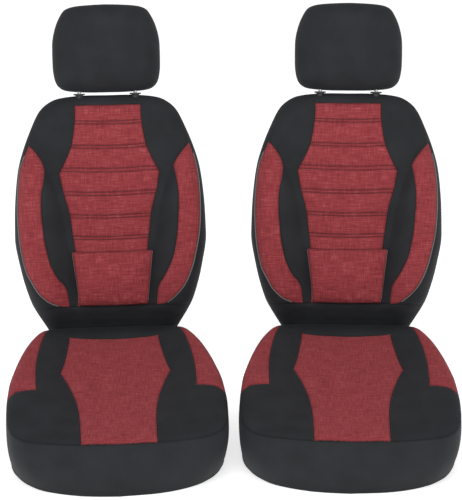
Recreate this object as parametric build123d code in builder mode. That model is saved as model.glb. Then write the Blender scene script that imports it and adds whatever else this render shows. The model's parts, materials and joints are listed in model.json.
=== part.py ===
"""Seat cover set: two fabric covers, each stretched on a front seat with a reclining back and a
height-adjustable headrest.

+Z is up, -Y is the front, and the origin is on the floor at the middle of the set. Each seat is modelled
once about X = 0 and written twice, as left_ and right_, turned in a little towards the front. The backrest
is drawn in its own coordinates: x across, h up the back from the recline pivot, and t forward from it.
"""
from build123d import *
import os
from math import cos, radians, sin

# The whole set
seat_spacing = 580
toe_in = 3
pivot_y = 182.62
pivot_z = 142.6
recline = 15
cloth = 4

# Cushion: all Y values are behind the crease plane, which is crease_y in the set's frame
crease_y = pivot_y - 38.6
turn_y = crease_y - 300
cushion_length = 580
cushion_rear_height = 190
cushion_slope = 4.4
bolster_rise = 10
seam_drop = 14
rear_gap_t = 59

# Backrest
roll_radius = 55
roll_half_width = 147
roll_top = 111
panel_t = 38
bolster_t = 66
back_rear_t = -50
back_top = 662
side_split_t = -30
foam_split_x = 118
lumbar_t = 62
piping_size = 4
pocket_depth = 3
wide_h = 305
half_width_max = 252

# Headrest
headrest_low = 669
headrest_high = 897
headrest_width = 283
headrest_front_t = 60
headrest_rear_t = -40

# Frame, posts and hardware
tube_radius = 11
tube_bend = 60
crossbar_radius = 8
crossbar_h = 140
lug_radius = 26
lug_thick = 12
socket_radius = 14
upright_x = 128
top_tube_h = 598
top_tube_t = -17
post_x = 73.5
post_t = 6
post_radius = 6
post_bend = 25
post_clearance = 0.08
post_bottom_h = 505
post_top_h = headrest_high - 70
guide_radius = 10
guide_bottom_h = 560
shaft_radius = 8
shaft_clearance = 0.05
bracket_x = 151
bracket_thick = 5
bracket_head = 22
pan_z = 26
pan_thick = 2
runner_x = 190
runner_width = 32
runner_length = 420
runner_wall = 3
strap_x = 100
strap_z = 13
strap_width = 25
strap_length = 560
strap_thick = 1.5
buckle_width = 36
hook_wire_radius = 2

h_dir = Vector(0, sin(radians(recline)), cos(radians(recline)))
t_dir = Vector(0, -cos(radians(recline)), sin(radians(recline)))
pivot = Vector(0, pivot_y, pivot_z)
front_view = Plane(origin=pivot, x_dir=(1, 0, 0), z_dir=t_dir)
side_view = Plane(origin=pivot, x_dir=h_dir, z_dir=(1, 0, 0))
end_view = Plane(origin=pivot, x_dir=(1, 0, 0), z_dir=-h_dir)
slope_dir = Vector(0, -cos(radians(cushion_slope)), -sin(radians(cushion_slope)))
slope_end = Plane(origin=(0, crease_y - 60, cushion_rear_height), x_dir=(1, 0, 0), z_dir=slope_dir)
far = 900


def mirrored_face(*half):
    """Close a half outline, drawn from the centre line round the right side, with its mirror image."""
    with BuildLine() as outline:
        for draw, points in half:
            draw(*points)
        mirror(about=Plane.YZ)
    make_face(outline.edges())


def cushion_block(inset):
    """The covered cushion, or with an inset of the cloth's thickness the foam inside it."""
    front = -cushion_length + inset
    side = 271 - inset
    with BuildPart() as block:
        with BuildSketch(Plane((0, crease_y, -inset))):
            mirrored_face(
                (ThreePointArc, ((0, front), (135, front + 14), (218, front + 52))),
                (Spline, ((218, front + 52), (250 - inset * 0.7, -450), (side, -373), (257 - inset, -209),
                          (218 - inset, -49), (171 - inset, 20))),
                (Line, ((171 - inset, 20), (0, 20))),
            )
        extrude(amount=270)
        with BuildSketch(slope_end):
            mirrored_face(
                (Line, ((0, -inset), (120, -inset))),
                (Line, ((120, -inset), (165, bolster_rise - inset))),
                (Line, ((165, bolster_rise - inset), (215, bolster_rise - inset))),
                (ThreePointArc, ((215, bolster_rise - inset), (256 - inset, -5 - inset),
                                 (275 - inset, -44))),
                (Line, ((275 - inset, -44), (275 - inset, -300))),
                (Line, ((275 - inset, -300), (0, -300))),
            )
        extrude(amount=far, both=True, mode=Mode.INTERSECT)
        low = pivot - t_dir * -(rear_gap_t + inset) - h_dir * 220
        high = pivot + t_dir * (rear_gap_t + inset) + h_dir * 120
        with BuildSketch(Plane.YZ):
            with BuildLine():
                Polyline((high.Y, high.Z), (low.Y, low.Z), (low.Y - 60, -20), (crease_y + front + 20, -20))
                ThreePointArc((crease_y + front + 20, -20), (crease_y + front + 3, 70),
                              (crease_y + front + 1, 128))
                ThreePointArc((crease_y + front + 1, 128), (crease_y + front + 9, 146 - inset),
                              (crease_y + front + 34, 154 - inset))
                Polyline((crease_y + front + 34, 154 - inset), (crease_y - 100, 230), (high.Y, high.Z))
            make_face()
        extrude(amount=far, both=True, mode=Mode.INTERSECT)
    return block.part


def back_block(inset):
    """The covered backrest above its roll, or with an inset the foam inside it."""
    top = back_top - inset
    with BuildPart() as block:
        with BuildSketch(front_view):
            mirrored_face(
                (ThreePointArc, ((0, top), (62, top - 1), (122, top - 5))),
                (Spline, ((122, top - 5), (181 - inset, 620 - inset), (215 - inset, 542),
                          (243 - inset, 437), (half_width_max - inset, wide_h), (238 - inset, 199),
                          (214 - inset, 119), (205 - inset, roll_top))),
                (Line, ((205 - inset, roll_top), (0, roll_top))),
            )
        extrude(amount=200, both=True)
        with BuildSketch(end_view):
            mirrored_face(
                (Line, ((0, panel_t - inset), (115, panel_t - inset))),
                (Line, ((115, panel_t - inset), (168, bolster_t - 4 - inset))),
                (ThreePointArc, ((168, bolster_t - 4 - inset), (200, bolster_t - 2 - inset),
                                 (230 - inset, bolster_t - 18 - inset))),
                (ThreePointArc, ((230 - inset, bolster_t - 18 - inset), (249 - inset, 24),
                                 (253 - inset, -4))),
                (ThreePointArc, ((253 - inset, -4), (240 - inset, -38 + inset / 2),
                                 (205 - inset, back_rear_t + inset))),
                (Line, ((205 - inset, back_rear_t + inset), (0, back_rear_t + inset))),
            )
        extrude(amount=far, both=True, mode=Mode.INTERSECT)
        with BuildSketch(side_view):
            with BuildLine():
                Polyline((0, 80), (480, 80), (590, 50 - inset))
                ThreePointArc((590, 50 - inset), (640, 36 - inset), (back_top - inset, 8))
                ThreePointArc((back_top - inset, 8), (645 - inset, -22), (600, -36 + inset))
                Polyline((600, -36 + inset), (330, back_rear_t + inset), (0, back_rear_t + inset), (0, 80))
            make_face()
        extrude(amount=far, both=True, mode=Mode.INTERSECT)
    return block.part


def roll_block(inset):
    """The rounded lower end of the backrest, which turns about the pivot clear of the cushion."""
    with BuildPart() as block:
        with BuildSketch(side_view):
            Circle(roll_radius - inset)
            with Locations((roll_top / 2, 2.5)):
                Rectangle(roll_top, 2 * roll_radius - 5 - 2 * inset)
        extrude(amount=300, both=True)
        with BuildSketch(front_view):
            with BuildLine():
                Polyline((roll_half_width - inset, -60), (roll_half_width - inset, 28), (176 - inset, 52),
                         (205 - inset, roll_top), (-205 + inset, roll_top), (-176 + inset, 52),
                         (-roll_half_width + inset, 28), (-roll_half_width + inset, -60),
                         (roll_half_width - inset, -60))
            make_face()
        extrude(amount=200, both=True, mode=Mode.INTERSECT)
    return block.part


def headrest_block(inset):
    """The covered headrest, or with an inset the foam inside it."""
    half = headrest_width / 2 - inset
    low = headrest_low + inset
    high = headrest_high - inset
    with BuildPart() as block:
        with BuildSketch(front_view):
            mirrored_face(
                (ThreePointArc, ((0, high), (50, high - 1), (94, high - 6))),
                (Spline, ((94, high - 6), (127 - inset, 853), (half, 780), (half - 5, 700), (100, low + 4))),
                (ThreePointArc, ((100, low + 4), (50, low + 1), (0, low))),
            )
        extrude(amount=200, both=True)
        with BuildSketch(side_view):
            with BuildLine():
                Spline((low, 0), (low + 30, headrest_front_t - 6 - inset), (780, headrest_front_t - inset),
                       (870 - inset, headrest_front_t - 22 - inset), (high, 8))
                Spline((high, 8), (860 - inset, -26 + inset), (770, headrest_rear_t + inset),
                       (low + 34, -32 + inset), (low, 0))
            make_face()
        extrude(amount=300, both=True, mode=Mode.INTERSECT)
    return block.part


def shell(outer, inner):
    """The cloth all round a block."""
    with BuildPart() as skin:
        add(outer)
        add(inner, mode=Mode.SUBTRACT)
    return skin.part


def column(plane, height, *drawn):
    """A pair of columns through a block, from one outline drawn on the right and its mirror image."""
    with BuildPart() as pair:
        with BuildSketch(plane):
            for side in (1, -1):
                with BuildLine() as outline:
                    for draw, points in drawn:
                        draw(*[(side * u, v) for u, v in points])
                make_face(outline.edges())
        extrude(amount=height)
    return pair.part


def cut_by(skin, keep=(), remove=()):
    """The part of a skin that is inside every region kept and outside every region removed."""
    with BuildPart() as panel:
        add(skin)
        for region in keep:
            add(region, mode=Mode.INTERSECT)
        for region in remove:
            add(region, mode=Mode.SUBTRACT)
    return panel.part


def slab(plane, low, high, low_v=-far, high_v=far):
    """All the space between two values along a plane's x axis, and two along its y axis."""
    with BuildPart() as space:
        with BuildSketch(plane):
            with Locations(((low + high) / 2, (low_v + high_v) / 2)):
                Rectangle(high - low, high_v - low_v)
        extrude(amount=far, both=True)
    return space.part


def back_point(u, h, t):
    """A point in the backrest's coordinates."""
    return pivot + Vector(u, 0, 0) + h_dir * h + t_dir * t


crossbar_ends = [back_point(u, crossbar_h, top_tube_t) for u in (-upright_x, upright_x)]


def bar_along(path, radius):
    """A round bar along a path."""
    with BuildPart() as bar:
        with BuildSketch(Plane(origin=path @ 0, z_dir=path % 0)):
            Circle(radius)
        sweep(path=path)
    return bar.part


def rod(start, end, radius):
    """A straight round bar between two points."""
    with BuildPart() as bar:
        with BuildSketch(Plane(origin=start, z_dir=end - start)):
            Circle(radius)
        extrude(amount=(end - start).length)
    return bar.part


def hoop(half_width, low_h, high_h, t, corner):
    """An upside-down U in the backrest's coordinates, for a bent tube or a headrest's posts."""
    ends = [back_point(u, h, t) for u, h in
            ((-half_width, low_h), (-half_width, high_h), (half_width, high_h), (half_width, low_h))]
    with BuildLine() as path:
        FilletPolyline(*ends, radius=corner)
    return path.line


def make_seat_pan():
    with BuildPart() as pan:
        with BuildSketch(Plane((0, crease_y, pan_z))):
            with Locations((0, -265)):
                RectangleRounded(420, 480, 90)
            with Locations((0, 10)):
                Rectangle(330, 130)
        extrude(amount=pan_thick)
    return pan.part


def make_seat_runners():
    """Two box-section bars that the pan stands on."""
    with BuildPart() as runners:
        with BuildSketch(Plane((0, crease_y, 0))):
            for u in (-runner_x, runner_x):
                with Locations((u, -250)):
                    Rectangle(runner_width, runner_length)
        extrude(amount=pan_z)
        with BuildSketch(Plane((0, crease_y, runner_wall))):
            for u in (-runner_x, runner_x):
                with Locations((u, -250)):
                    Rectangle(runner_width - 2 * runner_wall, runner_length + 20)
        extrude(amount=pan_z - 2 * runner_wall, mode=Mode.SUBTRACT)
    return runners.part


def make_recliner_brackets():
    with BuildPart() as brackets:
        for u in (-bracket_x - bracket_thick, bracket_x):
            with BuildSketch(Plane.YZ.offset(u)):
                with Locations((pivot_y, pivot_z)):
                    Circle(bracket_head)
                with BuildLine():
                    Polyline((pivot_y - bracket_head, pivot_z), (pivot_y - 44, pan_z + pan_thick),
                             (pivot_y + 34, pan_z + pan_thick), (pivot_y + bracket_head, pivot_z),
                             (pivot_y - bracket_head, pivot_z))
                make_face()
                with Locations((pivot_y, pivot_z)):
                    Circle(shaft_radius + shaft_clearance, mode=Mode.SUBTRACT)
            extrude(amount=bracket_thick)
    return brackets.part


def make_elastic_straps():
    with BuildPart() as straps:
        for u in (-strap_x, strap_x):
            with Locations((u, crease_y - 240, strap_z)):
                Box(strap_width, strap_length, strap_thick)
    return straps.part


def make_strap_buckles():
    with BuildPart() as buckles:
        for u in (-strap_x, strap_x):
            with Locations((u, crease_y - 120, strap_z)):
                Box(buckle_width, 24, 5)
                Box(strap_width + 0.6, 30, strap_thick + 0.6, mode=Mode.SUBTRACT)
    return buckles.part


def make_strap_hooks():
    rear = crease_y + 75
    low = strap_z + strap_thick / 2 + hook_wire_radius + 0.1
    high = pan_z + pan_thick + hook_wire_radius + 0.1
    with BuildPart() as hooks:
        for u in (-strap_x, strap_x):
            for step in (-8, 8):
                ends = [(u + step, rear - 34, low), (u + step, rear + 6, low),
                        (u + step, rear + 6, high), (u + step, rear - 12, high)]
                with BuildLine():
                    path = FilletPolyline(*ends, radius=4)
                with BuildSketch(Plane(origin=path @ 0, z_dir=path % 0)):
                    Circle(hook_wire_radius)
                sweep(path=path)
    return hooks.part


def make_frame():
    """A bent tube with a lower crossbar, pierced lugs on the pivot and two sockets for the headrest."""
    with BuildPart() as frame:
        add(bar_along(hoop(upright_x, 20, top_tube_h, top_tube_t, tube_bend), tube_radius))
        add(rod(*crossbar_ends, crossbar_radius))
        for u in (-upright_x, upright_x):
            inner = u - lug_thick / 2
            add(rod(back_point(inner, 0, 0), back_point(inner + lug_thick, 0, 0), lug_radius))
            with BuildSketch(Plane(origin=back_point(inner, 0, 0), x_dir=h_dir, z_dir=(1, 0, 0))):
                with Locations((30, top_tube_t)):
                    Rectangle(60, 20)
            extrude(amount=lug_thick)
        for u in (-post_x, post_x):
            add(rod(back_point(u, guide_bottom_h + 8, post_t), back_point(u, top_tube_h + 30, post_t),
                    socket_radius))
        for u in (-post_x, post_x):
            add(rod(back_point(u, guide_bottom_h, post_t), back_point(u, back_top, post_t), guide_radius),
                mode=Mode.SUBTRACT)
        add(rod(back_point(-160, 0, 0), back_point(160, 0, 0), shaft_radius), mode=Mode.SUBTRACT)
    return frame.part


def make_post_guides():
    with BuildPart() as guides:
        for u in (-post_x, post_x):
            add(rod(back_point(u, guide_bottom_h, post_t), back_point(u, back_top, post_t), guide_radius))
            add(rod(back_point(u, back_top, post_t), back_point(u, back_top + 4, post_t), guide_radius + 5))
            add(rod(back_point(u, guide_bottom_h - 5, post_t), back_point(u, back_top + 9, post_t),
                    post_radius + post_clearance), mode=Mode.SUBTRACT)
    return guides.part


def hollow_for_frame(block):
    """A backrest block with room for the tubes, lugs, shaft, sockets and posts inside it."""
    room = 0.5
    with BuildPart() as foam:
        add(block)
        add(bar_along(hoop(upright_x, -60, top_tube_h, top_tube_t, tube_bend), tube_radius + room),
            mode=Mode.SUBTRACT)
        add(rod(*crossbar_ends, crossbar_radius + room), mode=Mode.SUBTRACT)
        add(rod(back_point(-300, 0, 0), back_point(300, 0, 0), shaft_radius + room), mode=Mode.SUBTRACT)
        for u in (-upright_x, upright_x):
            inner = u - lug_thick / 2 - 1
            add(rod(back_point(inner, 0, 0), back_point(inner + lug_thick + 2, 0, 0), lug_radius + 1),
                mode=Mode.SUBTRACT)
            with BuildSketch(Plane(origin=back_point(inner, 0, 0), x_dir=h_dir, z_dir=(1, 0, 0))):
                with Locations((30, top_tube_t)):
                    Rectangle(64, 22)
            extrude(amount=lug_thick + 2, mode=Mode.SUBTRACT)
        for u in (-post_x, post_x):
            add(rod(back_point(u, guide_bottom_h, post_t), back_point(u, back_top + 20, post_t),
                    socket_radius + room), mode=Mode.SUBTRACT)
            add(rod(back_point(u, post_bottom_h - 8, post_t), back_point(u, guide_bottom_h, post_t),
                    post_radius + 1), mode=Mode.SUBTRACT)
    return foam.part


def in_three(block, at):
    """A block cut into a middle and two sides, each a separate solid."""
    with BuildPart() as three:
        add(block)
        for u in (-at, at):
            add(slab(Plane.XY, u - 0.1, u + 0.1), mode=Mode.SUBTRACT)
    return three.part


# The blocks that foams and covers are cut from
cushion_outer = cushion_block(0)
cushion_inner = cushion_block(cloth)
with BuildPart() as back_outer_whole:
    add(back_block(0))
    add(roll_block(0))
with BuildPart() as back_inner_whole:
    add(back_block(cloth))
    add(roll_block(cloth))
cushion_skin = shell(cushion_outer, cushion_inner)
back_skin = shell(back_outer_whole.part, back_inner_whole.part)

# Regions of the cushion's cover, in plan
centre_plan = column(
    Plane((0, crease_y, 60)), 200,
    (Line, ((-0.1, -600), (-0.1, -46))),
    (ThreePointArc, ((-0.1, -46), (60, -43), (116, -32))),
    (Spline, ((116, -32), (122, -115), (139, -224))),
    (Spline, ((139, -224), (118, -293), (99, -384), (92, -483), (91, -600))),
    (Line, ((91, -600), (-0.1, -600))),
)
wing_plan = column(
    Plane((0, crease_y, 60)), 200,
    (Spline, ((160, 40), (182, -45), (197, -150), (198, -325))),
    (Line, ((198, -325), (231, -330))),
    (Line, ((231, -330), (300, -350))),
    (Line, ((300, -350), (300, 40))),
    (Line, ((300, 40), (160, 40))),
)
below_seam = slab(slope_end, -far, far, -far, -seam_drop)
behind_cushion = slab(side_view, -far, far, -far, rear_gap_t + cloth)
rear_of_cushion = slab(Plane.YZ, crease_y - 46.5, far)

# Regions of the backrest's cover, in its front view
centre_front = column(
    front_view, 300,
    (Line, ((-0.1, roll_top), (-0.1, 636))),
    (Line, ((-0.1, 636), (86, 636))),
    (Spline, ((86, 636), (90, 575), (103, 516), (131, 459))),
    (Spline, ((131, 459), (122, 411), (108, 359), (101, 306), (95, 254), (88, roll_top))),
    (Line, ((88, roll_top), (-0.1, roll_top))),
)
wing_front = column(
    front_view, 300,
    (Line, ((208, 534), (167, 476))),
    (Spline, ((167, 476), (178, 374), (171, 282), (141, 192), (117, 125))),
    (Line, ((117, 125), (139, 114))),
    (Spline, ((139, 114), (192, 162), (226, 240), (239, 330), (238, 430), (208, 534))),
)
edge_front = column(
    front_view, 300,
    (Spline, ((139, 114), (192, 162), (226, 240), (239, 330), (238, 430), (208, 534))),
    (Line, ((208, 534), (300, 534))),
    (Line, ((300, 534), (300, 114))),
    (Line, ((300, 114), (139, 114))),
)
low_band = slab(side_view, -far, roll_top)
rear_half = slab(side_view, -far, far, -far, side_split_t)


def make_lumbar_pad():
    with BuildPart() as pad:
        with BuildSketch(front_view):
            with BuildLine():
                Spline((-103, 254), (-96, 195), (-87, roll_top + 3))
                Line((-87, roll_top + 3), (92, roll_top + 3))
                Spline((92, roll_top + 3), (102, 195), (107, 254))
                Line((107, 254), (-103, 254))
            make_face()
        extrude(amount=100)
        with BuildSketch(side_view):
            with BuildLine():
                ThreePointArc((roll_top + 3, panel_t + 4), (roll_top + 10, panel_t + 16),
                              (roll_top + 32, lumbar_t))
                Line((roll_top + 32, lumbar_t), (228, lumbar_t))
                ThreePointArc((228, lumbar_t), (248, panel_t + 14), (254, panel_t + 4))
                Polyline((254, panel_t + 4), (254, panel_t), (roll_top + 3, panel_t), (roll_top + 3, panel_t + 4))
            make_face()
        extrude(amount=far, both=True, mode=Mode.INTERSECT)
    return pad.part


def make_piping():
    """The bead along each wing's outer edge, standing on the cover."""
    rim = piping_size
    inner = [(139, 114), (192, 162), (226, 240), (239, 330), (238, 430), (208, 534)]
    outer = [(u + rim, h) for u, h in inner]
    strip = column(front_view, 300, (Spline, inner), (Line, (inner[-1], outer[-1])), (Spline, outer[::-1]),
                   (Line, (outer[0], inner[0])))
    raised = shell(back_block(-0.75 * rim), back_block(0))
    return cut_by(raised, keep=[strip], remove=[rear_half])


def make_rear_pocket():
    with BuildPart() as pocket:
        with BuildSketch(front_view.offset(back_rear_t - 0.2)):
            with Locations((0, 260)):
                RectangleRounded(320, 230, 18)
        extrude(amount=-pocket_depth)
    return pocket.part


def pierced(panel, radius, *spans):
    """A panel with a round hole along each span that runs through it."""
    with BuildPart() as holed:
        add(panel)
        for start, end in spans:
            add(rod(start, end, radius), mode=Mode.SUBTRACT)
    return holed.part


def make_headrest_foam():
    with BuildPart() as foam:
        add(headrest_block(cloth))
        add(bar_along(hoop(post_x, post_bottom_h, post_top_h, post_t, post_bend), post_radius),
            mode=Mode.SUBTRACT)
    return foam.part


def make_headrest_cover():
    with BuildPart() as cover:
        add(shell(headrest_block(0), headrest_block(cloth)))
        for u in (-post_x, post_x):
            add(rod(back_point(u, post_bottom_h, post_t), back_point(u, headrest_low + 60, post_t),
                    post_radius + 1), mode=Mode.SUBTRACT)
    return cover.part


below_flap = slab(Plane.XZ, -far, far, -far, pan_z + 3)
below_pan_top = slab(Plane.XZ, -far, far, -far, pan_z + pan_thick)
cushion_top_skin = cut_by(cushion_skin, remove=[below_seam, behind_cushion])
back_above_roll = cut_by(back_skin, remove=[low_band])
front_only = cut_by(back_above_roll, remove=[rear_half])
guide_spans = [(back_point(u, guide_bottom_h, post_t), back_point(u, back_top + 20, post_t))
               for u in (-post_x, post_x)]
shaft_span = (back_point(-300, 0, 0), back_point(300, 0, 0))
pieces = {
    "seat_pan": make_seat_pan(),
    "seat_runners": make_seat_runners(),
    "recliner_brackets": make_recliner_brackets(),
    "elastic_straps": make_elastic_straps(),
    "strap_buckles": make_strap_buckles(),
    "strap_hooks": make_strap_hooks(),
    "cushion_foam": in_three(cut_by(cushion_inner, remove=[below_pan_top]), foam_split_x),
    "cushion_centre_panel": cut_by(cushion_top_skin, keep=[centre_plan]),
    "cushion_wing_panels": cut_by(cushion_top_skin, keep=[wing_plan]),
    "cushion_bolster_panels": cut_by(cushion_top_skin, remove=[centre_plan, wing_plan, rear_of_cushion]),
    "cushion_rear_band": cut_by(cushion_top_skin, keep=[rear_of_cushion], remove=[centre_plan, wing_plan]),
    "cushion_skirt": cut_by(cushion_skin, keep=[below_seam], remove=[behind_cushion]),
    "crease_flap": cut_by(cushion_skin, keep=[behind_cushion], remove=[below_flap]),
    "recliner_shaft": rod(back_point(-bracket_x - 12, 0, 0), back_point(bracket_x + 12, 0, 0),
                          shaft_radius),
    "backrest_frame": make_frame(),
    "post_guides": make_post_guides(),
    "backrest_foam": in_three(hollow_for_frame(back_inner_whole.part), foam_split_x),
    "backrest_centre_panel": cut_by(front_only, keep=[centre_front]),
    "backrest_wing_panels": cut_by(front_only, keep=[wing_front]),
    "backrest_side_panels": cut_by(front_only, keep=[edge_front]),
    "backrest_bolster_panels": pierced(
        cut_by(front_only, remove=[centre_front, wing_front, edge_front]), guide_radius + 0.3, *guide_spans),
    "backrest_rear_panel": cut_by(back_above_roll, keep=[rear_half]),
    "backrest_lower_band": pierced(cut_by(back_skin, keep=[low_band]), shaft_radius + 0.5, shaft_span),
    "lumbar_pad": make_lumbar_pad(),
    "backrest_piping": make_piping(),
    "rear_pocket": make_rear_pocket(),
    "headrest_posts": bar_along(hoop(post_x, post_bottom_h, post_top_h, post_t, post_bend), post_radius),
    "headrest_foam": make_headrest_foam(),
    "headrest_cover": make_headrest_cover(),
}

os.makedirs("parts", exist_ok=True)
for side, hand in (("left", -1), ("right", 1)):
    turned = Location((hand * seat_spacing / 2, turn_y, 0), (0, 0, -hand * toe_in))
    place = turned * Location((0, -turn_y, 0))
    for name, piece in pieces.items():
        placed = piece.moved(place)
        placed.label = f"{side}_{name}"
        export_step(placed, f"parts/{side}_{name}.step")
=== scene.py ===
"""Looks of the seat cover set. Outlines are in millimetres in each seat's own coordinates and everything
that is made is in metres in the frame of the CAD model.

The backrest and headrest are drawn in front view: u across, h up the back from the recline pivot, and t
forward. The cushion is drawn in plan: u across and y behind the crease. Each piece is made once about the
seat's middle plane and copied to both seats.
"""
import json
import math

import bpy
import numpy as np
from mathutils import Matrix, Vector, noise
from mathutils.geometry import delaunay_2d_cdt
from mathutils.kdtree import KDTree


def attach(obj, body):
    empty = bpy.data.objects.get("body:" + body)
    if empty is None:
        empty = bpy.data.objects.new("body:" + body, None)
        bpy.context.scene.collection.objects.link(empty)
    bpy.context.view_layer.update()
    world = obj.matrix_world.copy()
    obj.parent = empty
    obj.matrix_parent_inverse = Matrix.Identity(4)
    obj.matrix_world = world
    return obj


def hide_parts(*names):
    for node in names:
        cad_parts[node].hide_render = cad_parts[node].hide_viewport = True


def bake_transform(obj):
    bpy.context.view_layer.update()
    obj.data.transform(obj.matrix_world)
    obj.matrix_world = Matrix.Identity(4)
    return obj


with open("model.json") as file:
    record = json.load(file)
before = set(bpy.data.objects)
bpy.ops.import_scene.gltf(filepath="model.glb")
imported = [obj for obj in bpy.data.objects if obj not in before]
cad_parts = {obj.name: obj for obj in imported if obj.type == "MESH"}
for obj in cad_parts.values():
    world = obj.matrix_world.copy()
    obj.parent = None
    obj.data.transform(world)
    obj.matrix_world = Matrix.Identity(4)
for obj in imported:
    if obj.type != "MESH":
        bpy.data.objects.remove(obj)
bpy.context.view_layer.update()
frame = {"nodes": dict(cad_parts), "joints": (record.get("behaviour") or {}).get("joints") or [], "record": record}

MM = 0.001
scene = bpy.context.scene
SEAM_STEP = 5.0  # millimetres between the points of seams and outlines
CREASE_Y = -38.6  # where the cushion's plan begins, in millimetres from the recline pivot
CUSHION_SLOPE = math.tan(math.radians(4.4))  # the cushion's top falls towards its front
joints = {joint["name"]: joint for joint in frame["joints"]}


def seat_place(side):
    """A seat's turn and place. Pieces are made with the recline pivot above the origin."""
    joint = joints[side + "_recline"]
    across = -Vector(joint["axis"])
    pivot = Vector(joint["pos_m"])
    turn = Matrix.Rotation(math.atan2(across.y, across.x), 4, "Z")
    return Matrix.Translation((pivot.x, pivot.y, 0)) @ turn


places = {side: seat_place(side) for side in ("left", "right")}
pivot_z = 1000 * joints["left_recline"]["pos_m"][2]
lean_cos = joints["left_headrest_height"]["axis"][2]
lean_sin = math.sqrt(1 - lean_cos**2)
FORWARD = [0, -lean_cos, lean_sin]  # straight out of the backrest's front
BACKWARD = [0, lean_cos, -lean_sin]
UPWARD = [0, 0, 1]


# ---- curves and distances
def smooth_path(points, steps=8):
    """A Catmull-Rom curve through the points, with steps to each span."""
    p = np.array(points, float)
    ends = np.vstack([2 * p[0] - p[1], p, 2 * p[-1] - p[-2]])
    out = []
    for i in range(len(p) - 1):
        a, b, c, d = ends[i:i + 4]
        s = np.linspace(0, 1, steps, endpoint=False)[:, None]
        out.append(0.5 * (2 * b + (c - a) * s + (2 * a - 5 * b + 4 * c - d) * s**2
                          + (3 * b - a - 3 * c + d) * s**3))
    return np.vstack(out + [p[-1:]])


def run_along(path):
    """How far along a flat path each of its points is."""
    return np.r_[0, np.cumsum(np.hypot(*np.diff(path, axis=0).T))]


def run_in_space(path):
    """The same for a path in space."""
    return np.r_[0, np.cumsum(np.linalg.norm(np.diff(path, axis=0), axis=1))]


def points_at(path, run, at):
    """The points of a path at given distances along it."""
    return np.column_stack([np.interp(at, run, column) for column in path.T])


def even(path, step):
    """The path sampled again at about an even spacing, with its ends kept."""
    run = run_along(path)
    count = max(1, round(run[-1] / step))
    return points_at(path, run, np.linspace(0, run[-1], count + 1))


def corner_path(*spans):
    """Smooth spans joined at corners, evenly sampled."""
    out = [even(smooth_path(span), SEAM_STEP) for span in spans]
    return np.vstack([out[0]] + [span[1:] for span in out[1:]])


def mirrored(path):
    """The path on the other side of the middle plane."""
    return path * [-1, 1]


def closed(loop):
    """The loop with its first point again at its end."""
    return np.vstack([loop, loop[:1]])


def whole_outline(half, step):
    """A right half and its mirror image as one loop, open and closed."""
    loop = even(np.vstack([half, mirrored(half)[::-1][1:-1]]), step)
    return loop, closed(loop)


def distance(points, paths):
    """How far each point is from the nearest of the paths."""
    best = np.full(len(points), 1e9)
    for path in paths:
        a, b = path[:-1], path[1:]
        ab = b - a
        length = np.maximum((ab**2).sum(1), 1e-12)
        for i in range(0, len(points), 4000):
            p = points[i:i + 4000, None]
            s = np.clip(((p - a) * ab).sum(2) / length, 0, 1)
            gap = np.hypot(*np.moveaxis(p - a - s[..., None] * ab, 2, 0))
            best[i:i + 4000] = np.minimum(best[i:i + 4000], gap.min(1))
    return best


def inside(points, loop):
    """Whether each point is inside a closed loop."""
    x, y = points[:, :1], points[:, 1:]
    x0, y0 = loop.T
    x1, y1 = np.roll(loop, -1, 0).T
    crosses = (y0 > y) != (y1 > y)
    at = x0 + (y - y0) * (x1 - x0) / np.where(y1 == y0, 1e-9, y1 - y0)
    return (crosses & (x < at)).sum(1) % 2 == 1


def offset_rows(path, gap):
    """Points beside a path, at a distance to its left for a positive gap."""
    along = np.gradient(path, axis=0)
    along /= np.maximum(np.hypot(*along.T)[:, None], 1e-9)
    return path + gap * np.column_stack([-along[:, 1], along[:, 0]])


def step_up(value, low, high):
    """0 below low, 1 above high and smooth between."""
    s = np.clip((value - low) / (high - low), 0, 1)
    return s * s * (3 - 2 * s)


def rounded(off, radius):
    """The height of a rounded edge at a distance from its rim, from 0 to 1."""
    return np.sqrt(1 - (1 - np.clip(off / radius, 0, 1)) ** 2)


def arch(across, half_width):
    """1 on the middle line, falling to 0 at the half width."""
    return np.clip(1 - (across / half_width) ** 2, 0, 1)


def soft_noise(x, y, seed):
    """Smooth noise from -1 to 1 at one place."""
    return noise.noise(Vector((x, y, seed)))


def wobble(points, size, seed):
    """Smooth noise at each point, with features of about that size."""
    return np.array([soft_noise(x / size, y / size, seed) for x, y in points[:, :2]])


# ---- sheets cut along their seams
SEAM_ROWS = (1.5, 3.5, 6.5)  # how far the rows of points beside a seam are from it
CREASE_ROWS = (1.3, 2.7)  # the same for a sewn crease
THINNING_CELL = 1.2  # a square of this side holds one loose point at most


def hex_points(low, high, step):
    """Points of a hexagonal grid between two corners."""
    out = []
    for i, y in enumerate(np.arange(low[1], high[1], step * 0.866)):
        x = np.arange(low[0] + (i % 2) * step / 2, high[0], step)
        out.append(np.column_stack([x, np.full(len(x), y)]))
    return np.vstack(out)


def rows_beside(paths, gaps):
    """Points at each distance from each path, on both sides."""
    return np.vstack([offset_rows(path, sign * gap) for path in paths for gap in gaps for sign in (1, -1)])


def thinned(points):
    """The first of the points in each square of a grid."""
    first = {}
    for i, (x, y) in enumerate(points):
        first.setdefault((int(x // THINNING_CELL), int(y // THINNING_CELL)), i)
    return points[list(first.values())]


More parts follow.
